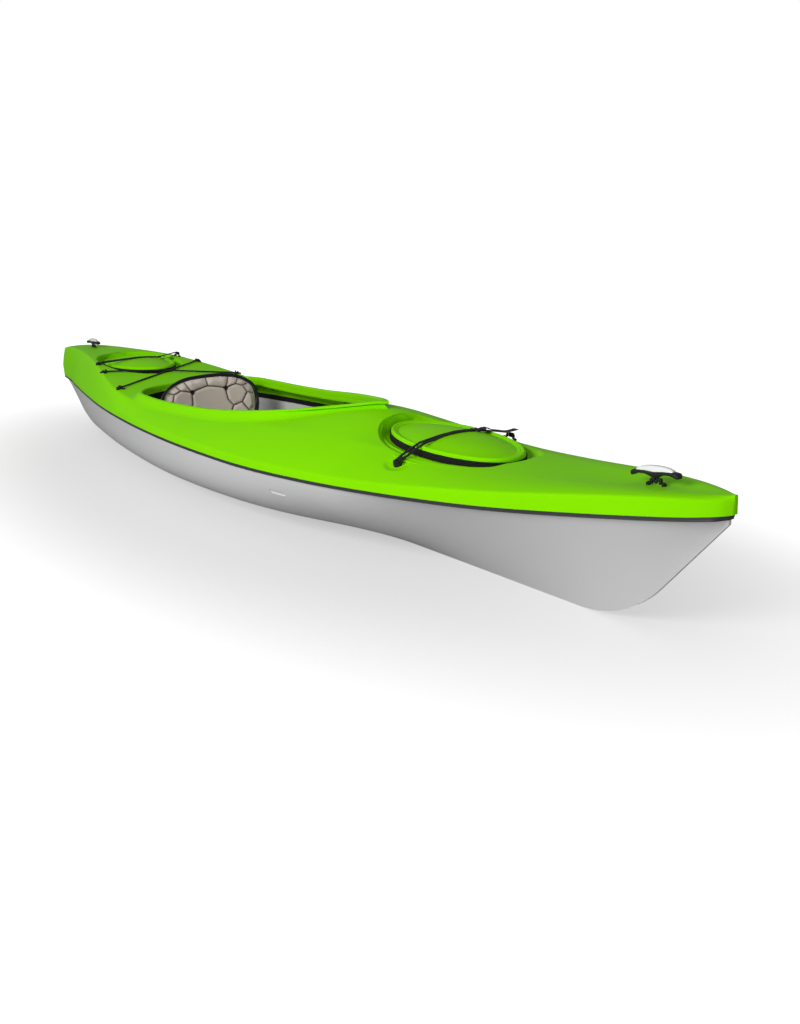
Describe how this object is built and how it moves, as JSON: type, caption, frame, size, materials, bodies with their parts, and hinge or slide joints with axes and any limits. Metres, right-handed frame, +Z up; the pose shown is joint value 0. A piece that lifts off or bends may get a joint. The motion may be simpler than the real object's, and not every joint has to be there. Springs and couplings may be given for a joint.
{
  "type": "recreational kayak",
  "caption": "Sit-in kayak with a two-piece shell, open cockpit, two strapped oval hatches, carry handles, a sliding seat with hinged backrest, and sliding foot braces.",
  "frame": {"origin": "on the ground under the keel's flat, at the middle of the boat's length and beam", "axes": "+X towards the bow, +Y to port, +Z up"},
  "size_m": [3.6404, 0.69, 0.3953],
  "materials": {
    "deck": "lime green, smooth and glossy",
    "hull": "off-white, smooth and glossy",
    "trim": "charcoal extrusion, satin",
    "gasket": "soft black rubber",
    "black_plastic": "moulded black plastic, satin",
    "pale_plastic": "pale grey plastic, smooth",
    "cord": "black braided sheath",
    "webbing": "black woven webbing",
    "pad": "taupe woven cover over foam",
    "foam": "dark closed-cell foam",
    "pin": "stainless pin"
  },
  "bodies": {
    "hull": {"hull_shell": "hull", "deck_shell": "deck", "seam_trim": "trim", "inner_seam_starboard": "gasket", "inner_seam_port": "gasket", "bow_bulkhead": "foam", "stern_bulkhead": "foam", "front_anchor_starboard": "black_plastic", "front_anchor_port": "black_plastic", "rear_anchor_starboard": "black_plastic", "rear_anchor_port": "black_plastic", "bow_handle_padeye": "black_plastic", "stern_handle_padeye": "black_plastic", "deck_eye_forward_starboard": "black_plastic", "deck_eye_forward_port": "black_plastic", "deck_eye_aft_starboard": "black_plastic", "deck_eye_aft_port": "black_plastic", "bungee_low": "cord", "bungee_high": "cord", "seat_rail_starboard": "black_plastic", "seat_rail_port": "black_plastic", "foot_rail_starboard": "black_plastic", "foot_rail_port": "black_plastic", "thigh_pad_starboard": "foam", "thigh_pad_port": "foam"},
    "front_hatch": {"front_lid": "deck", "front_gasket": "gasket"},
    "front_strap": {"front_strap_clip": "black_plastic", "front_strap_cord": "cord", "front_strap_buckle": "black_plastic", "front_strap_webbing": "webbing"},
    "rear_hatch": {"rear_lid": "deck", "rear_gasket": "gasket"},
    "rear_strap": {"rear_strap_clip": "black_plastic", "rear_strap_cord": "cord", "rear_strap_buckle": "black_plastic", "rear_strap_webbing": "webbing"},
    "bow_handle": {"bow_handle_grip": "black_plastic", "bow_handle_cap": "pale_plastic", "bow_handle_cord": "cord"},
    "stern_handle": {"stern_handle_grip": "black_plastic", "stern_handle_cap": "pale_plastic", "stern_handle_cord": "cord"},
    "seat": {"seat_pan": "black_plastic", "seat_cushion": "pad", "backrest_pin": "pin"},
    "backrest": {"backrest_shell": "black_plastic", "backrest_pad": "pad", "backrest_stud_starboard": "black_plastic", "backrest_stud_port": "black_plastic"},
    "pedal_starboard": {"foot_pedal_starboard": "black_plastic"},
    "pedal_port": {"foot_pedal_port": "black_plastic"},
    "lever_starboard": {"lock_lever_starboard": "black_plastic"},
    "lever_port": {"lock_lever_port": "black_plastic"}
  },
  "joints": [
    {"name": "front_hatch_lift", "type": "slide", "parent": "hull", "child": "front_hatch", "axis": [0.0384, 0, 0.9993], "range_m": [0, 0.09]},
    {"name": "front_strap_swing", "type": "hinge", "parent": "hull", "child": "front_strap", "pos_m": [0.98622, 0.19185, 0.30545], "axis": [-0.9993, 0, 0.0384], "range_deg": [0, 110]},
    {"name": "rear_hatch_lift", "type": "slide", "parent": "hull", "child": "rear_hatch", "axis": [0, 0, 1], "range_m": [0, 0.09]},
    {"name": "rear_strap_swing", "type": "hinge", "parent": "hull", "child": "rear_strap", "pos_m": [-1.01887, 0.1728, 0.35292], "axis": [-1, 0, 0], "range_deg": [0, 110]},
    {"name": "bow_handle_tilt", "type": "hinge", "parent": "hull", "child": "bow_handle", "pos_m": [1.62133, 0, 0.3381], "axis": [0.9982, 0, 0.0608], "range_deg": [-70, 70]},
    {"name": "stern_handle_tilt", "type": "hinge", "parent": "hull", "child": "stern_handle", "pos_m": [-1.51513, 0, 0.36507], "axis": [0.9999, 0, 0.0122], "range_deg": [-70, 70]},
    {"name": "seat_slide", "type": "slide", "parent": "hull", "child": "seat", "axis": [1, 0, 0], "range_m": [-0.05, 0.06]},
    {"name": "backrest_recline", "type": "hinge", "parent": "seat", "child": "backrest", "pos_m": [-0.39, 0, 0.108], "axis": [0, 1, 0], "range_deg": [-12, 36]},
    {"name": "pedal_starboard_slide", "type": "slide", "parent": "hull", "child": "pedal_starboard", "axis": [0.9881, 0.1539, 0], "range_m": [-0.12, 0.12]},
    {"name": "pedal_port_slide", "type": "slide", "parent": "hull", "child": "pedal_port", "axis": [0.9881, -0.1539, 0], "range_m": [-0.12, 0.12]},
    {"name": "lever_starboard_press", "type": "hinge", "parent": "pedal_starboard", "child": "lever_starboard", "pos_m": [0.54097, -0.25932, 0.15], "axis": [0, 0, -1], "range_deg": [0, 20], "stiffness_Nm_per_rad": 0.2},
    {"name": "lever_port_press", "type": "hinge", "parent": "pedal_port", "child": "lever_port", "pos_m": [0.54097, 0.25932, 0.15], "axis": [0, 0, 1], "range_deg": [0, 20], "stiffness_Nm_per_rad": 0.2}
  ],
  "couplings": [
    {"joint": "front_strap_swing", "follows": "front_hatch_lift", "rad_per_m": 21.3},
    {"joint": "rear_strap_swing", "follows": "rear_hatch_lift", "rad_per_m": 21.3}
  ]
}
